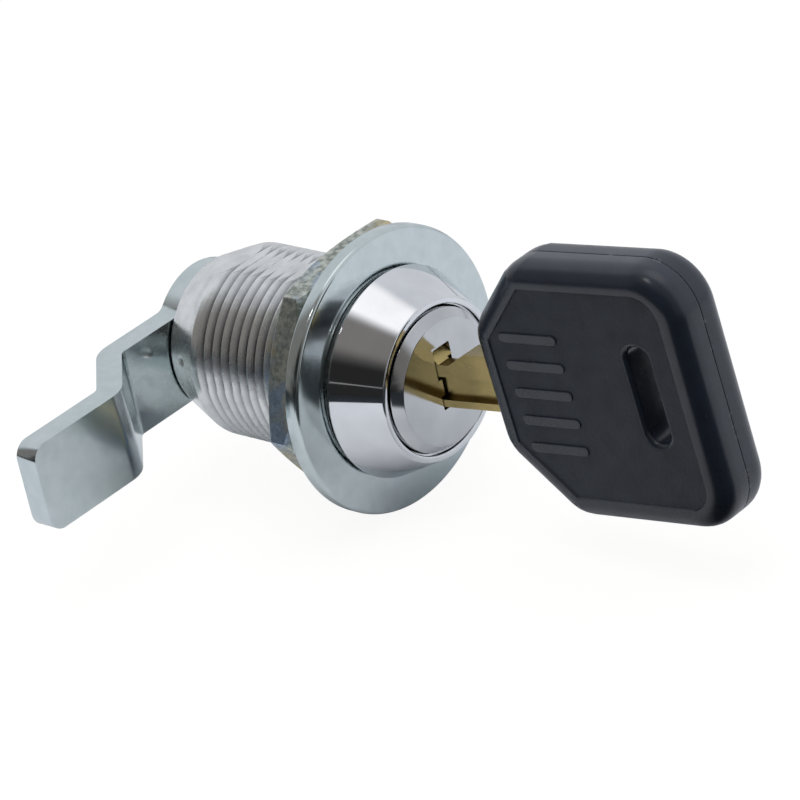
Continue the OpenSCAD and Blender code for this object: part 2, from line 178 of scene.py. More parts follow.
def painted(under, mask, colour):
    """The room's colour so far, with another one laid over it where a mask is 1."""
    return mix_colours(room_tree, mask, under, colour)


UP, LEFT, LAMP_SIDE = (0, 0, 1), (-1, -0.1, 0), (0.1, -0.05, 1)
dome = painted((0.93, 0.96, 1.0), facing(LAMP_SIDE, 0.9, 0.98), (1.6, 1.6, 1.6))
dome = painted(dome, facing(LEFT, 0.1, 0.35), (0.3, 0.285, 0.27))
low_left = worked(room_tree, "MULTIPLY", facing(LEFT, 0.62, 0.8), facing(UP, 0.8, 0.45))
dome = painted(dome, low_left, (0.03, 0.03, 0.03))
slit_height = worked(room_tree, "MULTIPLY", facing(UP, 0.17, 0.178), facing(UP, 0.196, 0.188))
slit = worked(room_tree, "MULTIPLY", facing(LEFT, 0.55, 0.6), slit_height)
dome = painted(dome, slit, (0.4, 0.4, 0.4))
room_tree.links.new(dome, room_background.inputs["Color"])
room_background.inputs["Strength"].default_value = 0.72


def lamp(name, place, power, size, colour):
    """A soft square lamp that looks at the lock."""
    bpy.ops.object.light_add(type="AREA", location=Vector(place) * MM)
    light = bpy.context.object
    light.name = name
    light.data.energy = power
    light.data.size = size * MM
    light.data.color = colour
    light.rotation_euler = (-light.location).to_track_quat("-Z", "Y").to_euler()
    print(name, "of", power, "W at", place, "mm")
    return light


lamp("overhead_lamp", (-60, -40, 330), 0.5, 260, (1, 1, 1)).visible_glossy = False
lamp("side_lamp", (260, -220, 160), 0.12, 160, (0.95, 0.97, 1)).visible_glossy = False
lamp("glint_lamp", (-190, 10, 330), 0.05, 40, (1, 1, 1))

# %% [markdown]
# ## The floor
#
# The lock lies in a catalogue's even white, so the floor glows pale to the camera. The metal has to
# reflect a real table instead, or its rim and ring would lose their dark edges. A Light Path node tells
# the two apart. To the lock the floor is a white paper, with a dark cloth past its left edge and
# another just in front. Both looks sit in one material, so nothing stands in the way of other views.

# %% Floor
FLOOR_SIZE = 4000 * MM
FLOOR_GAP = 0.05 * MM
bpy.ops.mesh.primitive_plane_add(size=FLOOR_SIZE, location=(0, 0, cad_box[0].z - FLOOR_GAP))
floor = bpy.context.object
floor.name = "floor"
floor_paint = bpy.data.materials.new("pale_floor")
floor_paint.use_nodes = True
floor_tree = floor_paint.node_tree
floor_shader = floor_tree.nodes["Principled BSDF"]
floor_shader.inputs["Roughness"].default_value = 0.9
floor_shader.inputs["Specular IOR Level"].default_value = 0.1
floor_shader.inputs["Emission Strength"].default_value = 1
floor_place = floor_tree.nodes.new("ShaderNodeTexCoord")
floor_axes = floor_tree.nodes.new("ShaderNodeSeparateXYZ")
floor_tree.links.new(floor_place.outputs["Object"], floor_axes.inputs["Vector"])


def past(axis, start, end):
    """A mask of the floor that grows from 0 to 1 along an axis, between two places in mm."""
    return laid_out(floor_tree, floor_axes.outputs[axis], start * MM, end * MM)


WHITE_PAPER, DARK_CLOTH = (0.78, 0.8, 0.83), (0.025, 0.03, 0.035)
BLACK, LIT_BASE, CATALOGUE_WHITE = (0, 0, 0), (0.1, 0.1, 0.1), (0.93, 0.925, 0.92)
front_cloth = worked(floor_tree, "MULTIPLY", past("Y", -33, -39), past("X", 2, -2))
cloths = worked(floor_tree, "MAXIMUM", front_cloth, past("X", -120, -130))
table = mix_colours(floor_tree, cloths, WHITE_PAPER, DARK_CLOTH)
camera_sees = floor_tree.nodes.new("ShaderNodeLightPath").outputs["Is Camera Ray"]
base = mix_colours(floor_tree, camera_sees, table, LIT_BASE)
glow = mix_colours(floor_tree, camera_sees, BLACK, CATALOGUE_WHITE)
floor_tree.links.new(base, floor_shader.inputs["Base Color"])
floor_tree.links.new(glow, floor_shader.inputs["Emission Color"])
floor.data.materials.append(floor_paint)
bpy.context.scene.view_settings.view_transform = "Standard"
print("floor at", round(floor.location.z / MM, 2), "mm")

# %% [markdown]
# ## Working by hand, in code
#
# Each piece is made the way it would be made by hand: a primitive is added, shaped in edit mode and
# finished with modifiers. An operator works on whatever is selected, so these helpers select first.
# An outline is one vertex, extruded from point to point. Spun round the axis it becomes a turned
# piece, and extruded sideways it becomes a plate. Its corners are rounded with true arcs, which keeps
# reflections smooth where a sharp corner would break them.

# %% Helpers that select and apply
SAME_PLACE = 0.0005 * MM


def only(piece):
    """Selects one piece alone, in object mode."""
    if bpy.context.mode == "EDIT_MESH":
        bpy.ops.object.mode_set(mode="OBJECT")
    bpy.ops.object.select_all(action="DESELECT")
    piece.select_set(True)
    bpy.context.view_layer.objects.active = piece


def apply_modifier(piece, kind, **settings):
    """Adds one modifier to a piece and applies it."""
    only(piece)
    modifier = piece.modifiers.new(kind.lower(), kind)
    for setting, value in settings.items():
        setattr(modifier, setting, value)
    bpy.ops.object.modifier_apply(modifier=modifier.name)


def in_edit_mode(piece, *steps):
    """Does some steps on all of a piece's mesh in edit mode."""
    only(piece)
    bpy.ops.object.mode_set(mode="EDIT")
    bpy.ops.mesh.select_all(action="SELECT")
    for step in steps:
        step()
    bpy.ops.object.mode_set(mode="OBJECT")


def clean():
    """Closes seams and turns all faces outward."""
    bpy.ops.mesh.remove_doubles(threshold=SAME_PLACE)
    bpy.ops.mesh.normals_make_consistent(inside=False)


def choose(piece, kind, test):
    """Selects the vertices, edges or faces of a piece whose middle or self passes a test, in edit mode."""
    only(piece)
    bpy.ops.object.mode_set(mode="EDIT")
    bpy.ops.mesh.select_all(action="DESELECT")
    bpy.ops.mesh.select_mode(type=kind)
    bpy.ops.object.mode_set(mode="OBJECT")
    group = {"VERT": piece.data.vertices, "EDGE": piece.data.edges, "FACE": piece.data.polygons}[kind]
    for item in group:
        item.select = test(item)
    bpy.ops.object.mode_set(mode="EDIT")


def smooth(piece, angle=30):
    """Smooth shading that keeps flat faces flat."""
    only(piece)
    bpy.ops.object.shade_smooth_by_angle(angle=math.radians(angle))
    apply_modifier(piece, "WEIGHTED_NORMAL", keep_sharp=True)
    return piece


def cut(piece, cutter, how="DIFFERENCE"):
    """Cuts one piece with another, or joins them, and takes the tool away."""
    apply_modifier(piece, "BOOLEAN", object=cutter, operation=how, solver="EXACT")
    bpy.data.objects.remove(cutter)
    return piece


def mill_flats(piece, half):
    """Cuts two level flats on a piece about the axis, at a distance in mm above and below it."""
    for side in (-1, 1):
        in_edit_mode(piece, lambda: bpy.ops.mesh.bisect(
            plane_co=(0, 0, side * half * MM), plane_no=(0, 0, side), use_fill=True, clear_outer=True))


def finish_faces(piece, finish, test):
    """Adds a second finish to a piece and gives it to the faces that pass a test."""
    piece.data.materials.append(finish)
    for face in piece.data.polygons:
        face.material_index = 1 if test(face) else 0


print("helpers ready")

# %% Outlines, turned pieces and plates
def rounded(outline, arc_steps=6):
    """The points of a closed outline of (x, y, corner radius) in mm, with its corners as arcs."""
    points = []
    for i, (x, y, radius) in enumerate(outline):
        corner = Vector((x, y, 0))
        if radius == 0:
            points.append(corner)
            continue
        before = (Vector((*outline[i - 1][:2], 0)) - corner).normalized()
        after = (Vector((*outline[(i + 1) % len(outline)][:2], 0)) - corner).normalized()
        half = before.angle(after) / 2
        centre = corner + (before + after).normalized() * radius / math.sin(half)
        start = (corner + before * radius / math.tan(half) - centre).normalized()
        end = (corner + after * radius / math.tan(half) - centre).normalized()
        steps = max(1, round(arc_steps * start.angle(end) / (math.pi / 2)))
        points += [centre + start.slerp(end, step / steps) * radius for step in range(steps + 1)]
    return points


def drawn(name, points, place=lambda x, y: (x, y, 0)):
    """A closed line through points in mm, extruded from one vertex."""
    bpy.ops.object.select_all(action="DESELECT")
    bpy.ops.mesh.primitive_plane_add(size=MM)
    piece = bpy.context.object
    piece.name = piece.data.name = name
    spots = [Vector(place(p.x, p.y)) * MM for p in points]
    bpy.ops.object.mode_set(mode="EDIT")
    bpy.ops.mesh.select_mode(type="VERT")
    bpy.ops.mesh.select_all(action="SELECT")
    bpy.ops.mesh.merge(type="CENTER")
    bpy.ops.transform.translate(value=spots[0])
    for here, there in zip(spots, spots[1:] + spots[:1]):
        bpy.ops.mesh.extrude_vertices_move(TRANSFORM_OT_translate={"value": there - here})
    bpy.ops.mesh.select_all(action="SELECT")
    bpy.ops.mesh.remove_doubles(threshold=SAME_PLACE)
    bpy.ops.object.mode_set(mode="OBJECT")
    return piece


def block(x_start, x_end, y_start, y_end, radius=0):
    """The outline of a rectangle with one corner radius, in mm."""
    corners_in_turn = ((x_start, y_start), (x_end, y_start), (x_end, y_end), (x_start, y_end))
    return [(x, y, radius) for x, y in corners_in_turn]


def turned(name, outline, steps=144):
    """A lathe-turned piece about the Y axis, from an outline of (radius, y, corner radius) in mm."""
    piece = drawn(name, rounded(outline))
    spin = lambda: bpy.ops.mesh.spin(steps=steps, angle=math.tau, center=(0, 0, 0), axis=(0, 1, 0))
    in_edit_mode(piece, spin, lambda: bpy.ops.mesh.select_all(action="SELECT"), clean)
    return piece


ON_XZ = lambda x, y: (x, 0, y)
ON_YZ = lambda x, y: (0, x, y)


def plate(name, outline, place, push, start=(0, 0, 0), arc_steps=6):
    """A plate of an outline laid on a plane, moved to its start and extruded by a push, in mm."""
    piece = drawn(name, rounded(outline, arc_steps), place)
    in_edit_mode(
        piece,
        lambda: bpy.ops.mesh.edge_face_add(),
        lambda: bpy.ops.transform.translate(value=Vector(start) * MM),
        lambda: bpy.ops.mesh.extrude_region_move(TRANSFORM_OT_translate={"value": Vector(push) * MM}),
        lambda: bpy.ops.mesh.select_all(action="SELECT"),
        clean,
    )
    return piece


def report(piece):
    """Prints what a piece measures."""
    places = [v.co / MM for v in piece.data.vertices]
    low, high = ([round(end(place[axis] for place in places), 2) for axis in range(3)] for end in (min, max))
    print(f"{piece.name}: {len(piece.data.polygons)} faces, from {low} to {high} mm")


def stands_for(piece, node, body, finish):
    """Gives a finished piece its body and its finish, hides the CAD node that it stands for and reports the
    piece.
    """
    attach(piece, body)
    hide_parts(node)
    piece.data.materials.clear()
    piece.data.materials.append(finish)
    report(piece)
    return piece


def corners(node):
    """A CAD node's box in mm."""
    low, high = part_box(node)
    return low / MM, high / MM


print("outline helpers ready")

# %% [markdown]
# ## Finishes
#
# A plated or moulded surface is never one flat colour. Each effect that several finishes share is a
# node group, built once: mottling in the plating, a fine cast or moulded grain, the rings that a lathe
# leaves, and the long scratches of rolled or milled stock. A group gives out only a mask or a height.
# The shader stays in the material, with its constants set on its own sockets. All patterns are laid out
# in object coordinates, in metres, so a size is written as so many marks to the millimetre.

# %% Node groups for shared effects
PER_MM = 1000


def new_group(name, *inputs, output):
    """A node group that takes a place and some numbers, and gives out one varying value."""
    tree = bpy.data.node_groups.new(name, "ShaderNodeTree")
    tree.interface.new_socket("Place", in_out="INPUT", socket_type="NodeSocketVector")
    for label, value in inputs:
        socket = tree.interface.new_socket(label, in_out="INPUT", socket_type="NodeSocketFloat")
        socket.default_value = value
    tree.interface.new_socket(output, in_out="OUTPUT", socket_type="NodeSocketFloat")
    return tree, tree.nodes.new("NodeGroupInput"), tree.nodes.new("NodeGroupOutput")


def noise_in(tree, place, scale, detail, roughness=0.5):
    """A noise texture inside a group."""
    noise = tree.nodes.new("ShaderNodeTexNoise")
    noise.inputs["Detail"].default_value = detail
    noise.inputs["Roughness"].default_value = roughness
    tree.links.new(place, noise.inputs["Vector"])
    tree.links.new(scale, noise.inputs["Scale"])
    return noise.outputs["Fac"]


def distance_from_axis(tree, place):
    """The distance of a place from the Y axis, and how far along that axis it lies."""
    split = tree.nodes.new("ShaderNodeSeparateXYZ")
    across = tree.nodes.new("ShaderNodeCombineXYZ")
    length = tree.nodes.new("ShaderNodeVectorMath")
    length.operation = "LENGTH"
    tree.links.new(place, split.inputs["Vector"])
    tree.links.new(split.outputs["X"], across.inputs["X"])
    tree.links.new(split.outputs["Z"], across.inputs["Y"])
    tree.links.new(across.outputs["Vector"], length.inputs[0])
    return length.outputs["Value"], split.outputs["Y"]


# Mottling: soft clouds, cut off between two limits
mottle, given, result = new_group("mottle", ("Marks", 1.0), ("Low", 0.4), ("High", 0.6), output="Mask")
clouds = noise_in(mottle, given.outputs["Place"], given.outputs["Marks"], detail=4)
mask = laid_out(mottle, clouds, given.outputs["Low"], given.outputs["High"])
mottle.links.new(mask, result.inputs["Mask"])

# Grain: small pebbles
grain, given, result = new_group("grain", ("Marks", 1.0), output="Height")
pebbles = noise_in(grain, given.outputs["Place"], given.outputs["Marks"], detail=2, roughness=0.65)
grain.links.new(pebbles, result.inputs["Height"])

# Lathe rings: the same height all the way round the axis
lathe_rings, given, result = new_group("lathe_rings", ("Marks", 1.0), output="Height")
radius, height = distance_from_axis(lathe_rings, given.outputs["Place"])
along = lathe_rings.nodes.new("ShaderNodeCombineXYZ")
lathe_rings.links.new(radius, along.inputs["X"])
lathe_rings.links.new(height, along.inputs["Y"])
rings = noise_in(lathe_rings, along.outputs["Vector"], given.outputs["Marks"], detail=3, roughness=0.7)
lathe_rings.links.new(rings, result.inputs["Height"])

# Strokes: a noise drawn out along Y
strokes, given, result = new_group("strokes", ("Marks", 1.0), ("Stretch", 0.05), output="Height")
drawn_out = strokes.nodes.new("ShaderNodeVectorMath")
drawn_out.operation = "MULTIPLY"
squeeze = strokes.nodes.new("ShaderNodeCombineXYZ")
squeeze.inputs["X"].default_value = 1
squeeze.inputs["Z"].default_value = 1
strokes.links.new(given.outputs["Stretch"], squeeze.inputs["Y"])
strokes.links.new(given.outputs["Place"], drawn_out.inputs[0])
strokes.links.new(squeeze.outputs["Vector"], drawn_out.inputs[1])
scratches = noise_in(strokes, drawn_out.outputs["Vector"], given.outputs["Marks"], detail=3, roughness=0.6)
strokes.links.new(scratches, result.inputs["Height"])

# Painted groove shade: a mask that is 0 at a groove's root, where the shade is painted darkest, and 1 at its
# crest
groove_depth, given, result = new_group("groove_depth", ("Root", 0.0), ("Crest", 1.0), output="Mask")
radius, height = distance_from_axis(groove_depth, given.outputs["Place"])
risen = laid_out(groove_depth, radius, given.outputs["Root"], given.outputs["Crest"], soft=True)
groove_depth.links.new(risen, result.inputs["Mask"])

# Seam wear: scuffs that fade within a reach of the plane between the two halves of the bow
seam_wear, given, result = new_group("seam_wear", ("Marks", 1.0), ("Reach", 1.0), output="Mask")
split = seam_wear.nodes.new("ShaderNodeSeparateXYZ")
away = seam_wear.nodes.new("ShaderNodeMath")
away.operation = "ABSOLUTE"
seam_wear.links.new(given.outputs["Place"], split.inputs["Vector"])
seam_wear.links.new(split.outputs["X"], away.inputs[0])
near_seam = laid_out(seam_wear, away.outputs["Value"], end=given.outputs["Reach"], low=1.0, high=0.0)
scuffs = noise_in(seam_wear, given.outputs["Place"], given.outputs["Marks"], detail=4, roughness=0.7)
worn = worked(seam_wear, "MULTIPLY", near_seam, laid_out(seam_wear, scuffs, 0.55, 0.7))
seam_wear.links.new(worn, result.inputs["Mask"])
print("node groups:", [tree.name for tree in bpy.data.node_groups])

# %% Helpers that wire a finish
def new_finish(name, roughness, metallic=1.0):
    """A material with its constants on the shader's own sockets."""
    paint = bpy.data.materials.new(name)
    paint.use_nodes = True
    shader = paint.node_tree.nodes["Principled BSDF"]
    shader.inputs["Metallic"].default_value = metallic
    shader.inputs["Roughness"].default_value = roughness
    return paint


def effect(paint, tree, **values):
    """Places a group in a material on object coordinates, and gives back what it puts out."""
    nodes, links = paint.node_tree.nodes, paint.node_tree.links
    place = nodes.get("Texture Coordinate") or nodes.new("ShaderNodeTexCoord")
    node = nodes.new("ShaderNodeGroup")
    node.node_tree = tree
    links.new(place.outputs["Object"], node.inputs["Place"])
    for label, value in values.items():
        node.inputs[label].default_value = value
    return node.outputs[0]


def feed(paint, value, socket):
    """Links a value into the shader."""
    paint.node_tree.links.new(value, paint.node_tree.nodes["Principled BSDF"].inputs[socket])


def mixed(paint, mask, first, second):
    """A colour between two others. Each is a colour or an output."""
    return mix_colours(paint.node_tree, mask, first, second)


def between(paint, mask, low, high):
    """A number between two others."""
    return laid_out(paint.node_tree, mask, low=low, high=high)


def relief(paint, height, depth):
    """Fine relief of a depth in mm."""
    bump = paint.node_tree.nodes.new("ShaderNodeBump")
    bump.inputs["Strength"].default_value = 1
    bump.inputs["Distance"].default_value = depth * MM
    paint.node_tree.links.new(height, bump.inputs["Height"])
    feed(paint, bump.outputs["Normal"], "Normal")


def two_tone(name, marks, cut_off, colours, roughness):
    """A metal whose tint and gloss wander together between two of each."""
    paint = new_finish(name, roughness[0])
    tint = effect(paint, mottle, Marks=marks * PER_MM, Low=cut_off[0], High=cut_off[1])
    feed(paint, mixed(paint, tint, *colours), "Base Color")
    feed(paint, between(paint, tint, *roughness), "Roughness")
    return paint


print("finish helpers ready")

# %% [markdown]
# ### Chrome, zinc and the barrel's plate
#
# Chrome is nearly a mirror and a little smudged. Zinc plate with a blue passivation is satin, and its
# tint wanders between pale green, grey and blue. The barrel is turned first and plated after, so the
# lathe's rings show through its bright plate. In the thread's groove that plate gets painted shade,
# darker toward the root.

# %% Bright and satin plating
SMUDGES = {"marks": 0.25, "cut_off": (0.35, 0.75)}
mirror_chrome = two_tone("mirror_chrome", colours=((0.82, 0.83, 0.86), (0.72, 0.73, 0.76)),
                         roughness=(0.03, 0.08), **SMUDGES)
soft_chrome = two_tone("soft_chrome", colours=((0.64, 0.65, 0.67), (0.54, 0.55, 0.57)),
                       roughness=(0.1, 0.17), **SMUDGES)

satin_zinc = new_finish("satin_zinc", 0.26)
wide_tint = effect(satin_zinc, mottle, Marks=0.09 * PER_MM, Low=0.35, High=0.65)
fine_tint = effect(satin_zinc, mottle, Marks=0.8 * PER_MM, Low=0.25, High=0.75)
pale_tints = mixed(satin_zinc, wide_tint, (0.66, 0.75, 0.74), (0.70, 0.75, 0.78))
feed(satin_zinc, mixed(satin_zinc, fine_tint, pale_tints, (0.60, 0.67, 0.68)), "Base Color")
feed(satin_zinc, between(satin_zinc, fine_tint, 0.12, 0.17), "Roughness")


def turned_plate(name):
    """Bright plate over turned metal, and the colour of its lit parts."""
    paint = new_finish(name, 0.18)
    tint = effect(paint, mottle, Marks=0.5 * PER_MM, Low=0.35, High=0.7)
    feed(paint, between(paint, tint, 0.2, 0.34), "Roughness")
    relief(paint, effect(paint, lathe_rings, Marks=4 * PER_MM), 0.012)
    return paint, mixed(paint, tint, (0.88, 0.89, 0.89), (0.72, 0.73, 0.73))


barrel_plate, lit = turned_plate("barrel_plate")
feed(barrel_plate, lit, "Base Color")
thread_plate_painted_shade, lit = turned_plate("thread_plate_painted_shade")
# Painted shade: the groove's faces darken toward the root to a grey of (0.34, 0.34, 0.36), and the crests
# keep the plate's colour
clear_of_painted_shade = effect(thread_plate_painted_shade, groove_depth, Root=8.95 * MM, Crest=9.45 * MM)
feed(thread_plate_painted_shade, mixed(thread_plate_painted_shade, clear_of_painted_shade, (0.34, 0.34, 0.36), lit), "Base Color")
print("plated finishes:", mirror_chrome.name, soft_chrome.name, satin_zinc.name, barrel_plate.name,
      thread_plate_painted_shade.name)

# %% [markdown]
# ### The rough nut and the metal inside
#
# The nut is cast or pressed and plated without polishing, so it is dull and pitted, and the passivation
# pools on it in blue and gold patches. The plug is die-cast zinc. Its wafers are stamped brass.

# %% Rough and inner metals
rough_zinc = new_finish("rough_zinc", 0.42)
speckle = effect(rough_zinc, mottle, Marks=1.8 * PER_MM, Low=0.38, High=0.62)
pools = effect(rough_zinc, mottle, Marks=0.16 * PER_MM, Low=0.5, High=0.62)
gold_pools = effect(rough_zinc, mottle, Marks=0.21 * PER_MM, Low=0.58, High=0.68)
greys = mixed(rough_zinc, speckle, (0.64, 0.66, 0.60), (0.30, 0.33, 0.30))
with_blue = mixed(rough_zinc, pools, greys, (0.36, 0.46, 0.60))
feed(rough_zinc, mixed(rough_zinc, gold_pools, with_blue, (0.66, 0.56, 0.34)), "Base Color")
feed(rough_zinc, between(rough_zinc, speckle, 0.32, 0.52), "Roughness")
relief(rough_zinc, effect(rough_zinc, grain, Marks=3 * PER_MM), 0.05)

cast_zinc = two_tone("cast_zinc", 0.8, (0.35, 0.65), ((0.58, 0.59, 0.60), (0.46, 0.47, 0.48)), (0.34, 0.5))
relief(cast_zinc, effect(cast_zinc, grain, Marks=4 * PER_MM), 0.02)
stamped_brass = two_tone("stamped_brass", 0.7, (0.35, 0.65), ((0.78, 0.62, 0.30), (0.64, 0.48, 0.21)),
                         (0.22, 0.36))
spring_wire = two_tone("spring_wire", 2, (0.35, 0.65), ((0.50, 0.50, 0.52), (0.36, 0.36, 0.38)),
                       (0.22, 0.38))
print("inner finishes:", rough_zinc.name, cast_zinc.name, stamped_brass.name, spring_wire.name)

# %% [markdown]
# ### Key brass and bow plastic
#
# The blade is milled from rolled brass, and the cutter's marks run along it. The bow is moulded in a
# dark slate plastic: glossy on its rounded margin, where hands polish it, and finely grained in the
# sunk panel of each face.

# %% The key's finishes
milled_brass = new_finish("milled_brass", 0.24)
mill_marks = effect(milled_brass, strokes, Marks=4 * PER_MM, Stretch=0.06)
brass_tint = effect(milled_brass, mottle, Marks=0.3 * PER_MM, Low=0.35, High=0.7)
feed(milled_brass, mixed(milled_brass, brass_tint, (0.56, 0.43, 0.18), (0.44, 0.35, 0.15)), "Base Color")
feed(milled_brass, between(milled_brass, mill_marks, 0.22, 0.38), "Roughness")
relief(milled_brass, mill_marks, 0.008)


def plastic(name, gloss, roughness_low, roughness_high, grain_depth):
    """A dark moulded plastic with a grain, scuffed where its two halves meet."""
    paint = new_finish(name, roughness_low, metallic=0.0)
    paint.node_tree.nodes["Principled BSDF"].inputs["Specular IOR Level"].default_value = gloss
    tint = effect(paint, mottle, Marks=0.4 * PER_MM, Low=0.3, High=0.7)
    scuffed = effect(paint, seam_wear, Marks=1.1 * PER_MM, Reach=0.32 * MM)
    slates = mixed(paint, tint, (0.020, 0.026, 0.042), (0.016, 0.021, 0.032))
    feed(paint, mixed(paint, scuffed, slates, (0.16, 0.17, 0.18)), "Base Color")
    feed(paint, between(paint, tint, roughness_low, roughness_high), "Roughness")
    relief(paint, effect(paint, grain, Marks=2.6 * PER_MM), grain_depth)
    return paint


bow_margin = plastic("bow_margin", 0.6, 0.2, 0.28, 0.003)
bow_panel = plastic("bow_panel", 0.36, 0.42, 0.5, 0.035)
print("key finishes:", milled_brass.name, bow_margin.name, bow_panel.name)

# %% [markdown]
# ## The dress ring and the cap
#
# The dress ring is a washer with a softly rounded front edge. The cap over it is pressed from thin
# sheet: a cone with a rolled lip round the plug. Both are bodies of revolution, so one outline each is
# spun round the axis. A cylinder primitive would need its many edges bevelled one by one.

# %% Dress ring
ring_low, ring_high = corners("dress_ring")
ring_radius, ring_front = ring_high.x, ring_low.y
SPIGOT_RADIUS = 9.9
RING_EDGE = 0.4
dress_ring = turned("dress_ring_turned", [
    (SPIGOT_RADIUS, 0, 0.1), (SPIGOT_RADIUS, ring_front, 0.1),
    (ring_radius, ring_front, RING_EDGE), (ring_radius, 0, 0.15)], steps=192)
smooth(dress_ring)
stands_for(dress_ring, "dress_ring", "lock_body", satin_zinc)

# %% Cap
cap_low, cap_high = corners("bezel_cap")
cap_radius, cap_front, cap_back = cap_high.x, cap_low.y, cap_high.y
CAP_RIM_RADIUS = 7.9
CAP_SKIN = 0.56
LIP_RADIUS = 7.25
LIP_DEPTH = 0.6
rim_slope = (cap_radius - CAP_RIM_RADIUS) / (cap_back - cap_front)
cap = turned("cap_pressed", [
    (cap_radius - CAP_SKIN, cap_back, 0), (cap_radius, cap_back, 0.12),
    (CAP_RIM_RADIUS, cap_front, 0.28), (LIP_RADIUS, cap_front, 0.2),
    (LIP_RADIUS, cap_front + LIP_DEPTH, 0),
    (CAP_RIM_RADIUS + rim_slope * LIP_DEPTH - CAP_SKIN, cap_front + LIP_DEPTH, 0)], steps=192)
smooth(cap)
stands_for(cap, "bezel_cap", "lock_body", mirror_chrome)

# %% [markdown]
# ## The plug's face
#
# The plug's face is a shallow chromed cup with a bevelled rim. The keyhole is cut right through it: an
# upright slot with a ward on one side that fits the groove in the blade.

# %% Plug face
face_low, face_high = corners("plug_face")
face_radius, face_front, face_back = face_high.x, face_low.y, face_high.y
FACE_BEVEL = 0.85
FACE_THICKNESS = 1.6
FACE_WALL = 0.5
plug_face = turned("plug_face_turned", [
    (0, face_front, 0), (face_radius - FACE_BEVEL, face_front, 0.12),
    (face_radius, face_front + FACE_BEVEL, 0.15), (face_radius, face_back, 0),
    (face_radius - FACE_WALL, face_back, 0),
    (face_radius - FACE_WALL, face_front + FACE_THICKNESS, 0), (0, face_front + FACE_THICKNESS, 0)],
    steps=192)
KEYHOLE_HALF = 1.175
KEYHOLE_LOW, KEYHOLE_HIGH = -2.5, 3.8
WARD_LOW, WARD_HIGH, WARD_WIDTH = -1.03, 0.62, 0.5
keyhole = plate("keyhole", [
    (-KEYHOLE_HALF, KEYHOLE_LOW, 0.2), (KEYHOLE_HALF, KEYHOLE_LOW, 0.2),
    (KEYHOLE_HALF, KEYHOLE_HIGH, 0.2), (-KEYHOLE_HALF, KEYHOLE_HIGH, 0.2),
    (-KEYHOLE_HALF, WARD_HIGH, 0), (WARD_WIDTH - KEYHOLE_HALF, WARD_HIGH, 0.1),
    (WARD_WIDTH - KEYHOLE_HALF, WARD_LOW, 0.1), (-KEYHOLE_HALF, WARD_LOW, 0)],
    ON_XZ, push=(0, FACE_THICKNESS + 2, 0), start=(0, face_front - 1, 0))
cut(plug_face, keyhole)
smooth(plug_face)
stands_for(plug_face, "plug_face", "plug", soft_chrome)

# %% [markdown]
# ## The threaded barrel
#
# The CAD barrel has a row of ring grooves. The real one has a thread, so here a three-sided outline is
# wound round the axis by a Screw modifier and cut out of a turned blank. The small dimple comes first,
# while the blank is a plain closed body, because a Boolean is surest there. The two flats are milled
# last, which leaves the notched edges that a milled thread has. The round head in front of the panel is
# turned by itself and joined on. The faces of the groove get painted shade: their colour darkens toward
# the groove's root.

# %% Barrel blank, dimple and thread
barrel_end = corners("housing")[1].y
THREAD_RADIUS = 9.5
THREAD_PITCH = 1.125
THREAD_DEPTH = 0.55
THREAD_START, THREAD_END = 1.2, 16.6
LEAD_END_RADIUS = 7.8
BORE_RADIUS = 6.25
FLAT_HALF = 8.9
COUNTERBORE_RADIUS, COUNTERBORE_END = 7.15, -3.4
RECESS_RADIUS, RECESS_START = 6.85, 19.8
HEAD_BACK_RADIUS, HEAD_FRONT_RADIUS = 9.7, 7.55
barrel = turned("barrel_turned", [
    (THREAD_RADIUS, THREAD_END, 0.3), (LEAD_END_RADIUS, barrel_end, 0.25),
    (RECESS_RADIUS, barrel_end, 0.1), (RECESS_RADIUS, RECESS_START, 0),
    (BORE_RADIUS, RECESS_START, 0), (BORE_RADIUS, 0, 0), (THREAD_RADIUS, 0, 0)], steps=160)
DIMPLE_RADIUS, DIMPLE_PLACE = 0.8, Vector((-8.93, 19, 1.6))
bpy.ops.mesh.primitive_uv_sphere_add(segments=32, ring_count=16, radius=DIMPLE_RADIUS * MM,
                                     location=DIMPLE_PLACE * MM)
cut(barrel, bpy.context.object)
head = turned("head", [
    (BORE_RADIUS, 0, 0), (BORE_RADIUS, COUNTERBORE_END, 0),
    (COUNTERBORE_RADIUS, COUNTERBORE_END, 0), (COUNTERBORE_RADIUS, cap_front + LIP_DEPTH, 0),
    (HEAD_FRONT_RADIUS, cap_front + LIP_DEPTH, 0), (HEAD_BACK_RADIUS, cap_back, 0),
    (HEAD_BACK_RADIUS, 0, 0)], steps=160)

GROOVE_SHARE = 0.92
half_width = THREAD_PITCH * GROOVE_SHARE / 2
OVERSHOOT = 0.03
root_radius = THREAD_RADIUS - THREAD_DEPTH
winding = drawn("winding", [Vector((root_radius, 0, 0)), Vector((THREAD_RADIUS + OVERSHOOT, -half_width, 0)),
                            Vector((THREAD_RADIUS + OVERSHOOT, half_width, 0))])
turns = math.floor((THREAD_END - THREAD_START) / THREAD_PITCH)
apply_modifier(winding, "SCREW", axis="Y", angle=math.tau, screw_offset=THREAD_PITCH * MM,
               iterations=turns, steps=96, render_steps=96, use_normal_calculate=True)
in_edit_mode(
    winding,
    lambda: bpy.ops.mesh.remove_doubles(threshold=SAME_PLACE),
    lambda: bpy.ops.mesh.select_all(action="DESELECT"),
    lambda: bpy.ops.mesh.select_non_manifold(extend=False, use_boundary=True),
    lambda: bpy.ops.mesh.fill_holes(sides=4),
    lambda: bpy.ops.mesh.select_all(action="SELECT"),
    lambda: bpy.ops.transform.translate(value=(0, THREAD_START * MM, 0)),
    clean,
)
print("thread of", turns, "turns,", len(winding.data.polygons), "faces in the tool")
cut(barrel, winding)

# %% Flats and head
mill_flats(barrel, FLAT_HALF)
only(barrel)
head.select_set(True)
bpy.ops.object.join()
smooth(barrel, 32)
stands_for(barrel, "housing", "lock_body", barrel_plate)


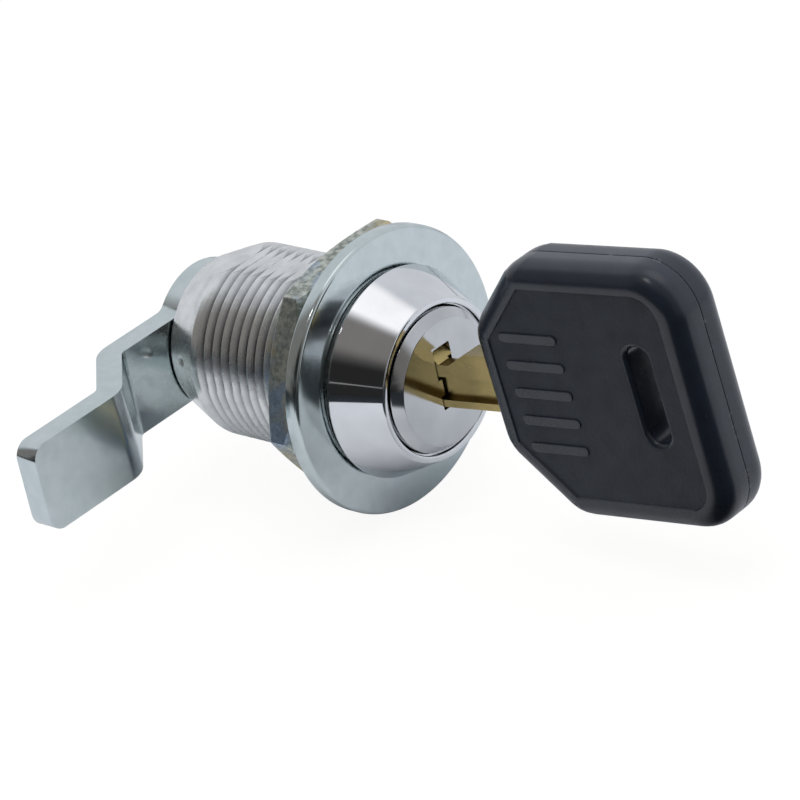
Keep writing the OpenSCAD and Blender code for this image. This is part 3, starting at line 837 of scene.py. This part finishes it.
def in_the_groove(face):
    """True for the faces of the thread's groove."""
    centre = face.center / MM
    between_root_and_crest = root_radius - 0.05 < math.hypot(centre.x, centre.z) < THREAD_RADIUS - 0.02
    threaded = 0.1 < centre.y < THREAD_END
    return between_root_and_crest and threaded and abs(centre.z) < FLAT_HALF - 0.01


# The groove's faces get the plate with painted shade that darkens toward the root
finish_faces(barrel, thread_plate_painted_shade, in_the_groove)

# %% [markdown]
# ## The mounting nut
#
# A hexagon nut starts as a six-sided cylinder. Its corners are chamfered by keeping only what lies
# inside a turned double cone, as the factory does on a lathe, and its bore is drilled by a cylinder.

# %% Nut
nut_mesh = frame["nodes"]["mounting_nut"].data.vertices
nut_corner = max((v.co for v in nut_mesh), key=lambda co: math.hypot(co.x, co.z))
nut_low, nut_high = corners("mounting_nut")
nut_front, nut_back = nut_low.y, nut_high.y
corner_radius = math.hypot(nut_corner.x, nut_corner.z) / MM
flat_radius = corner_radius * math.cos(math.pi / 6)
NUT_CHAMFER, CHAMFER_FLAT = math.radians(28), 0.35
NUT_BORE, SINK, SINK_DEPTH = 9.55, 0.6, 0.5
NUT_EDGE = 0.16
SIDES = 6
bpy.ops.object.select_all(action="DESELECT")
bpy.ops.mesh.primitive_cylinder_add(
    vertices=SIDES, radius=corner_radius * MM, depth=(nut_back - nut_front) * MM,
    location=(0, (nut_front + nut_back) / 2 * MM, 0), rotation=(math.pi / 2, 0, 0))
nut = bpy.context.object
nut.name = "nut_hexagon"
bpy.ops.object.transform_apply(location=True, rotation=True, scale=True)
first_corner = max((v.co for v in nut.data.vertices), key=lambda co: co.z)
corner_turn = math.atan2(nut_corner.x, nut_corner.z) - math.atan2(first_corner.x, first_corner.z)
nut.rotation_euler = (0, corner_turn, 0)
bpy.ops.object.transform_apply(location=True, rotation=True, scale=True)
chamfer_start = flat_radius - CHAMFER_FLAT
shaper_radius = corner_radius + 1
chamfer_rise = (shaper_radius - chamfer_start) * math.tan(NUT_CHAMFER)
shaper = turned("shaper", [
    (0, nut_front, 0), (chamfer_start, nut_front, 0), (shaper_radius, nut_front + chamfer_rise, 0),
    (shaper_radius, nut_back - chamfer_rise, 0), (chamfer_start, nut_back, 0), (0, nut_back, 0)])
cut(nut, shaper, how="INTERSECT")
drill = turned("drill", [
    (0, nut_front - 1, 0), (NUT_BORE + SINK, nut_front - 1, 0), (NUT_BORE, nut_front + SINK_DEPTH, 0),
    (NUT_BORE, nut_back - SINK_DEPTH, 0), (NUT_BORE + SINK, nut_back + 1, 0), (0, nut_back + 1, 0)],
    steps=128)
cut(nut, drill)
apply_modifier(nut, "BEVEL", width=NUT_EDGE * MM, segments=2, limit_method="ANGLE",
               angle_limit=math.radians(25))
smooth(nut)
stands_for(nut, "mounting_nut", "nut", rough_zinc)

# %% [markdown]
# ## The cam
#
# The cam is stamped from plate and bent twice, so it is made the same way. Its cross-section is pushed
# along, spun round the inside of the first bend, pushed on, spun back round the second bend and pushed
# to the tip. The bends get their true radii from the spin. The hub and the arm's outline are then
# stamped out of the bent bar with one plate-shaped tool.

# %% Bent bar
cam_low, cam_high = corners("cam")
tip_x, cam_back = -cam_low.x, cam_high.y
hub_radius = cam_high.x
ARM_HALF = 4.5
CAM_THICKNESS = 2.5
CAM_BEND = math.radians(45)
INSIDE_RADIUS = 1.0
BEND_MIDDLE = 16.8
cam_front = cam_back - CAM_THICKNESS
cam_shift = cam_front - cam_low.y
both_radii = 2 * INSIDE_RADIUS + CAM_THICKNESS
slope_length = (cam_shift - both_radii * (1 - math.cos(CAM_BEND))) / math.sin(CAM_BEND)
bend_reach = both_radii * math.sin(CAM_BEND) + slope_length * math.cos(CAM_BEND)
first_bend = BEND_MIDDLE - bend_reach / 2


def push_on(x, y):
    """Extrudes the selected end face by a distance in mm."""
    bpy.ops.mesh.extrude_region_move(TRANSFORM_OT_translate={"value": (x * MM, y * MM, 0)})


def bend(angle, x, y):
    """Spins the selected end face about an upright line."""
    bpy.ops.mesh.spin(steps=10, angle=-angle, center=(x * MM, y * MM, 0), axis=(0, 0, 1))


bar_reach = hub_radius + 1
cam = plate("cam_bent", block(cam_front, cam_back, -bar_reach, bar_reach),
            ON_YZ, push=(-(bar_reach + first_bend), 0, 0), start=(bar_reach, 0, 0))
choose(cam, "FACE", lambda face: face.normal.x < -0.99)
bend(CAM_BEND, -first_bend, cam_front - INSIDE_RADIUS)
push_on(-slope_length * math.cos(CAM_BEND), -slope_length * math.sin(CAM_BEND))
bend(-CAM_BEND, -(first_bend + bend_reach), cam_back - cam_shift + INSIDE_RADIUS)
push_on(-(tip_x - first_bend - bend_reach + 1), 0)
bpy.ops.mesh.select_all(action="SELECT")
clean()
bpy.ops.object.mode_set(mode="OBJECT")
report(cam)

# %% Stamped outline and tail hole
octagon = hub_radius * math.tan(math.pi / 8)
join = -(octagon + hub_radius - ARM_HALF)
JOIN_RADIUS, TIP_RADIUS = 1.4, 1.6
STAMP_TRAVEL = 14
stamp = plate("stamp", [
    (hub_radius, -octagon, hub_radius), (hub_radius, octagon, hub_radius),
    (octagon, hub_radius, hub_radius), (-octagon, hub_radius, hub_radius),
    (join, ARM_HALF, JOIN_RADIUS), (-tip_x, ARM_HALF, TIP_RADIUS),
    (-tip_x, -ARM_HALF, TIP_RADIUS), (join, -ARM_HALF, JOIN_RADIUS),
    (-octagon, -hub_radius, hub_radius), (octagon, -hub_radius, hub_radius)],
    ON_XZ, push=(0, STAMP_TRAVEL, 0), start=(0, cam_low.y - 2, 0), arc_steps=14)
cut(cam, stamp, how="INTERSECT")
TAIL_RADIUS, TAIL_HALF = 4.05, 3.15
tail_hole = turned("tail_hole", [(0, cam_front - 1, 0), (TAIL_RADIUS, cam_front - 1, 0),
                                 (TAIL_RADIUS, cam_back + 1, 0), (0, cam_back + 1, 0)])
mill_flats(tail_hole, TAIL_HALF)
cut(cam, tail_hole)
CAM_EDGE = 0.22
apply_modifier(cam, "BEVEL", width=CAM_EDGE * MM, segments=3, limit_method="ANGLE",
               angle_limit=math.radians(35))
smooth(cam)
stands_for(cam, "cam", "plug", satin_zinc)

# %% [markdown]
# ## The cam's screw
#
# A pan-head screw holds the cam on the plug's tail, over a split washer. The head is turned with a
# domed face, and the cross recess is cut by two crossed bars.

# %% Screw
screw_low, screw_high = corners("cam_screw")
HEAD_RADIUS, SHANK_RADIUS = 4.2, 2.45
HEAD_HEIGHT, DOME_HEIGHT, DOME_INSET = 2.2, 0.7, 1.3
head_start = screw_high.y - HEAD_HEIGHT
screw = turned("screw_turned", [
    (0, screw_low.y, 0), (SHANK_RADIUS, screw_low.y, 0.3), (SHANK_RADIUS, head_start, 0),
    (HEAD_RADIUS, head_start, 0.15), (HEAD_RADIUS, screw_high.y - DOME_HEIGHT, 0.5),
    (HEAD_RADIUS - DOME_INSET, screw_high.y, 2.0), (0, screw_high.y, 0)], steps=96)
RECESS_HALF, RECESS_REACH, RECESS_DEPTH = 0.55, 2.3, 1.3
for half_x, half_z in ((RECESS_REACH, RECESS_HALF), (RECESS_HALF, RECESS_REACH)):
    bar = plate("recess_bar", block(-half_x, half_x, -half_z, half_z, 0.2),
                ON_XZ, push=(0, 3, 0), start=(0, screw_high.y - RECESS_DEPTH, 0))
    cut(screw, bar)
smooth(screw)
stands_for(screw, "cam_screw", "plug", satin_zinc)

# %% [markdown]
# ## The split washer, the wafers and the springs
#
# These small pieces have the right shape in the CAD model already. The washer is copied from it and
# gets softened edges, because it shows behind the screw. The rest sit inside the barrel and the plug,
# and show only when the lock is taken apart, so they keep their CAD shape and get their own finish.

# %% Split washer
def softened_copy(node, name, width):
    """A copy of a CAD node's mesh with its flat faces rejoined and its edges softened."""
    bpy.ops.object.select_all(action="DESELECT")
    bpy.ops.mesh.primitive_cube_add(size=MM)
    piece = bpy.context.object
    piece.name = name
    piece.data = frame["nodes"][node].data.copy()
    piece.data.name = name
    in_edit_mode(piece, lambda: bpy.ops.mesh.remove_doubles(threshold=0.002 * MM),
                 lambda: bpy.ops.mesh.dissolve_limited(angle_limit=math.radians(1)))
    apply_modifier(piece, "BEVEL", width=width * MM, segments=2, limit_method="ANGLE",
                   angle_limit=math.radians(35), use_clamp_overlap=True)
    return smooth(piece)


washer = softened_copy("lock_washer", "washer_split", 0.12)
stands_for(washer, "lock_washer", "plug", spring_wire)

# %% Finishes of the CAD pieces that stay
INNER_FINISHES = {"plug": cast_zinc, "stop_washer": satin_zinc, "retainer_wafer": stamped_brass,
                  "retainer_spring": spring_wire}
for name, node in frame["nodes"].items():
    if node.hide_render:
        continue
    inner = INNER_FINISHES.get(name)
    if name.startswith("wafer_spring"):
        inner = spring_wire
    elif name.startswith("wafer"):
        inner = stamped_brass
    if inner:
        node.data.materials.clear()
        node.data.materials.append(inner)
        print(name, "gets", inner.name)

# %% [markdown]
# ## The key's own frame
#
# The key sits a few degrees nose-down in its keyway. It is modelled level and turned into place at the
# end. The tilt comes from the direction that the key slides in, and the key's sizes are measured on the
# CAD nodes after that tilt is taken away.

# %% Tilt and sizes of the key
key_joint = next(joint for joint in frame["joints"] if joint["name"] == "key_slide")
slide_axis = Vector(key_joint["axis"])
key_tilt = math.atan2(slide_axis.z, -slide_axis.y)
PIVOT = Vector((0, -7.0, 1.27))
level_key = Matrix.Rotation(key_tilt, 3, "X")


def key_corners(node):
    """A key node's box in mm, in the key's own level frame."""
    places = [v.co / MM for v in frame["nodes"][node].data.vertices]
    points = [level_key @ (place - PIVOT) + Vector((0, PIVOT.y, 0)) for place in places]
    return ([min(p[i] for p in points) for i in range(3)], [max(p[i] for p in points) for i in range(3)])


shell_low, shell_high = key_corners("key_shell_left")
bow_near, bow_far = shell_high[1], shell_low[1]
bow_top, bow_half_thickness = shell_high[2], -shell_low[0]
print("bow from", round(bow_near, 2), "to", round(bow_far, 2), "mm, half height", round(bow_top, 2),
      "half thickness", round(bow_half_thickness, 2), "tilt", round(math.degrees(key_tilt), 2))


def into_keyway(piece):
    """Turns a piece from the key's level frame into its place in the keyway."""
    piece.data.transform(Matrix.Translation(PIVOT * MM) @ Matrix.Rotation(-key_tilt, 4, "X")
                         @ Matrix.Translation((0, -PIVOT.y * MM, 0)))


# %% [markdown]
# ## The bow's two shells
#
# Each half of the bow is a moulded shell. Its outline is extruded to half the bow's thickness. The
# outer edge gets a generous round and the parting edge a tiny one, so that a fine groove shows where
# the halves meet. The panel is inset and stepped down, the key-ring slot is cut with a flared tool
# that leaves a rounded rim, and plain grip ribs stand in the panel. The second half is a mirrored copy.

# %% One shell
CHAMFER = 6.8
FAR_CORNER = 5.0
EDGE_ROUND = 2.1
PARTING_ROUND = 0.14
PANEL_MARGIN, PANEL_STEP, PANEL_WALL = 2.35, 0.16, 0.1
shell = plate("bow_shell_left", [
    (bow_near, bow_top - CHAMFER, 0), (bow_near - CHAMFER, bow_top, 0),
    (bow_far, bow_top, FAR_CORNER), (bow_far, -bow_top, FAR_CORNER),
    (bow_near - CHAMFER, -bow_top, 0), (bow_near, CHAMFER - bow_top, 0)],
    ON_YZ, push=(-bow_half_thickness, 0, 0), arc_steps=16)

outer_x = -bow_half_thickness * MM
TINY = 0.001 * MM


def edge_at(x):
    """A test for the shell's edges that lie in one upright plane."""
    return lambda edge: all(abs(shell.data.vertices[i].co.x - x) < TINY for i in edge.vertices)


def at_chamfer(edge):
    """True for the four cross-edges at the ends of the two chamfers."""
    ends = [shell.data.vertices[i].co for i in edge.vertices]
    near = (bow_near - CHAMFER) * MM - TINY
    return abs(ends[0].x - ends[1].x) > MM and all(end.y > near for end in ends)


choose(shell, "EDGE", lambda edge: edge_at(outer_x)(edge) or at_chamfer(edge))
bpy.ops.mesh.bevel(offset=EDGE_ROUND * MM, segments=8, profile=0.5, affect="EDGES")
choose(shell, "EDGE", edge_at(0))
bpy.ops.mesh.bevel(offset=PARTING_ROUND * MM, segments=2, profile=0.5, affect="EDGES")
choose(shell, "FACE", lambda face: face.normal.x < -0.999 and face.area > 100 * MM * MM)
bpy.ops.mesh.inset(thickness=(PANEL_MARGIN - EDGE_ROUND) * MM, depth=0)
bpy.ops.mesh.inset(thickness=PANEL_WALL * MM, depth=-PANEL_STEP * MM)
bpy.ops.object.mode_set(mode="OBJECT")
report(shell)

# %% Grip ribs
RIB_COUNT, RIB_SPACING, RIB_LENGTH, RIB_WIDTH = 5, 2.8, 7.0, 1.0
RIB_BACK, RIB_ROOT, RIB_SOFTENING = 7.3, 0.4, 0.12
rib_middle = bow_near - RIB_BACK
panel_x = bow_half_thickness - PANEL_STEP
for row in range(RIB_COUNT):
    rib_z = (row - (RIB_COUNT - 1) / 2) * RIB_SPACING
    rib_outline = block(rib_middle - RIB_LENGTH / 2, rib_middle + RIB_LENGTH / 2,
                        rib_z - RIB_WIDTH / 2, rib_z + RIB_WIDTH / 2, RIB_WIDTH / 2 - 0.01)
    rib = plate("rib", rib_outline, ON_YZ, push=(-PANEL_STEP - RIB_ROOT, 0, 0),
                start=(RIB_ROOT - panel_x, 0, 0))
    choose(rib, "FACE", lambda face: face.normal.x < -0.99)
    bpy.ops.mesh.bevel(offset=RIB_SOFTENING * MM, segments=2, profile=0.5, affect="EDGES")
    bpy.ops.object.mode_set(mode="OBJECT")
    cut(shell, rib, how="UNION")
print(RIB_COUNT, "ribs on", shell.name)

# %% Key-ring slot
SLOT_BACK, SLOT_RISE, SLOT_LENGTH, SLOT_WIDTH = 6.4, 0.6, 9.6, 2.6
SLOT_ROUND = 0.55
slot_y = bow_far + SLOT_BACK
slot_outline = block(slot_y - SLOT_WIDTH / 2, slot_y + SLOT_WIDTH / 2,
                     SLOT_RISE - SLOT_LENGTH / 2, SLOT_RISE + SLOT_LENGTH / 2, SLOT_WIDTH / 2 - 0.01)
slot = plate("slot", slot_outline, ON_YZ, push=(-(panel_x - SLOT_ROUND + 1), 0, 0), start=(1, 0, 0),
             arc_steps=12)
choose(slot, "FACE", lambda face: face.normal.x < -0.99)
FLARE_STEPS = 5
for step in range(FLARE_STEPS):
    turn, next_turn = (math.pi / 2 * k / FLARE_STEPS for k in (step, step + 1))
    deeper = SLOT_ROUND * (math.sin(next_turn) - math.sin(turn))
    wider = SLOT_ROUND * (math.cos(turn) - math.cos(next_turn))
    bpy.ops.mesh.extrude_region_move(TRANSFORM_OT_translate={"value": (-deeper * MM, 0, 0)})
    grow = (1 + wider / (SLOT_WIDTH / 2), 1 + wider / (SLOT_LENGTH / 2))
    bpy.ops.transform.resize(value=(1, *grow), center_override=(0, slot_y * MM, SLOT_RISE * MM))
bpy.ops.mesh.extrude_region_move(TRANSFORM_OT_translate={"value": (-MM, 0, 0)})
bpy.ops.object.mode_set(mode="OBJECT")
cut(shell, slot)
report(shell)

# %% Tang pocket
TANG_HALF_HEIGHT, TANG_DEPTH, TANG_HALF_WIDTH = 4.55, 13.05, 1.15
pocket = plate("tang_pocket", block(bow_near - TANG_DEPTH, bow_near + 1, -TANG_HALF_HEIGHT, TANG_HALF_HEIGHT),
               ON_YZ, push=(-TANG_HALF_WIDTH - 1, 0, 0), start=(1, 0, 0))
cut(shell, pocket)
report(shell)

# %% Both shells, smoothed and in place
only(shell)
bpy.ops.object.duplicate()
other_shell = bpy.context.object
other_shell.name = other_shell.data.name = "bow_shell_right"
other_shell.data.transform(Matrix.Scale(-1, 4, (1, 0, 0)))
in_edit_mode(other_shell, lambda: bpy.ops.mesh.flip_normals())
for piece, node in ((shell, "key_shell_left"), (other_shell, "key_shell_right")):
    smooth(piece, 35)
    stands_for(piece, node, "key", bow_margin)
    finish_faces(piece, bow_panel, lambda face: abs(abs(face.center.x) / MM - panel_x) < 0.02)
    into_keyway(piece)

# %% [markdown]
# ## The blade
#
# The blade's outline, its cuts and its long grooves are right in the CAD model. A copy of it gets its
# edges softened, as a tumbled key has, so that they catch the light.

# %% Key blade
blade = softened_copy("key_blade", "blade_milled", 0.1)
stands_for(blade, "key_blade", "key", milled_brass)
